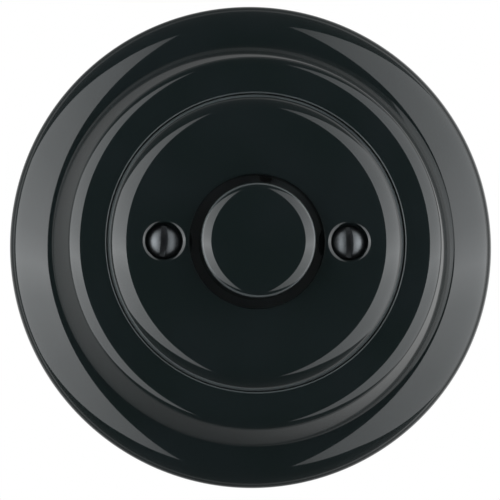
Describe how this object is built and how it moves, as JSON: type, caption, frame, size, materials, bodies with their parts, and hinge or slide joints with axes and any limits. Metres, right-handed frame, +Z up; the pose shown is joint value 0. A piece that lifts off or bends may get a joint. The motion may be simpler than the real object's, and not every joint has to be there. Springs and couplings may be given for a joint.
{
  "type": "rotary dimmer",
  "caption": "Round flush wall dimmer in black glazed porcelain: stepped frame, screwed cover plate and a central knob that turns and pushes.",
  "frame": {"origin": "centre of the frame's back on the wall plane, on the knob's axis", "axes": "front faces -Y towards the room, +X right, +Z up; the insert reaches into the wall along +Y"},
  "size_m": [0.1, 0.0485, 0.1],
  "materials": {
    "black_glaze": "fired gloss glaze",
    "blackened_steel": "satin",
    "zinc_steel": "bright zinc plate",
    "spring_steel": "bright drawn",
    "brass": "turned",
    "black_thermoset": "moulded satin",
    "grey_plastic": "moulded satin",
    "board_laminate": "solder mask",
    "brown_paper_laminate": "punched",
    "carbon_track": "printed",
    "white_nylon": "moulded",
    "bronze": "rolled",
    "tinned_copper": "tinned",
    "enamelled_copper": "enamelled",
    "ferrite": "sintered",
    "yellow_capacitor": "moulded",
    "red_capacitor": "dipped",
    "resistor_lacquer": "lacquered",
    "clear_glass": "clear",
    "silicone_pad": "rolled"
  },
  "bodies": {
    "fixed": {"outer_frame": "black_glaze", "cover_plate": "black_glaze", "cover_screws": "blackened_steel", "cover_posts": "brass", "support_plate": "blackened_steel", "pot_housing": "zinc_steel", "lock_washer": "zinc_steel", "pot_nut": "brass", "pot_wafer": "brown_paper_laminate", "pot_track": "carbon_track", "front_shell": "black_thermoset", "rear_shell": "black_thermoset", "shell_screws": "zinc_steel", "circuit_board": "board_laminate", "switch_housing": "grey_plastic", "return_spring": "spring_steel", "fixed_contacts": "bronze", "triac": "black_thermoset", "triac_tab": "tinned_copper", "insulating_pad": "silicone_pad", "triac_screw": "zinc_steel", "choke_core": "ferrite", "choke_winding": "enamelled_copper", "film_capacitor": "yellow_capacitor", "small_capacitor": "red_capacitor", "resistors": "resistor_lacquer", "trigger_diode": "resistor_lacquer", "fuse_tube": "clear_glass", "fuse_caps": "tinned_copper", "fuse_wire": "tinned_copper", "fuse_clips": "bronze", "terminal_block": "grey_plastic", "terminal_clamps": "brass", "terminal_screws": "zinc_steel", "component_leads": "tinned_copper"},
    "knob": {"knob": "black_glaze", "knob_bush": "brass", "grip_ring": "spring_steel", "control_shaft": "brass", "shaft_clip": "spring_steel"},
    "rotor": {"pot_rotor": "white_nylon", "wiper": "bronze"},
    "plunger": {"switch_plunger": "white_nylon", "contact_bridge": "bronze"}
  },
  "joints": [
    {"name": "knob_turn", "type": "hinge", "parent": "fixed", "child": "rotor", "pos_m": [0, 0, 0], "axis": [0, 1, 0], "range_deg": [0, 300]},
    {"name": "knob_push", "type": "slide", "parent": "rotor", "child": "knob", "axis": [0, 1, 0], "range_m": [0, 0.0018], "stiffness_N_per_m": 900, "springref_m": -0.003},
    {"name": "switch_travel", "type": "slide", "parent": "fixed", "child": "plunger", "axis": [0, 1, 0], "range_m": [0, 0.0018], "deforming": ["return_spring"]}
  ],
  "couplings": [
    {"joint": "switch_travel", "follows": "knob_push", "ratio": 1}
  ]
}
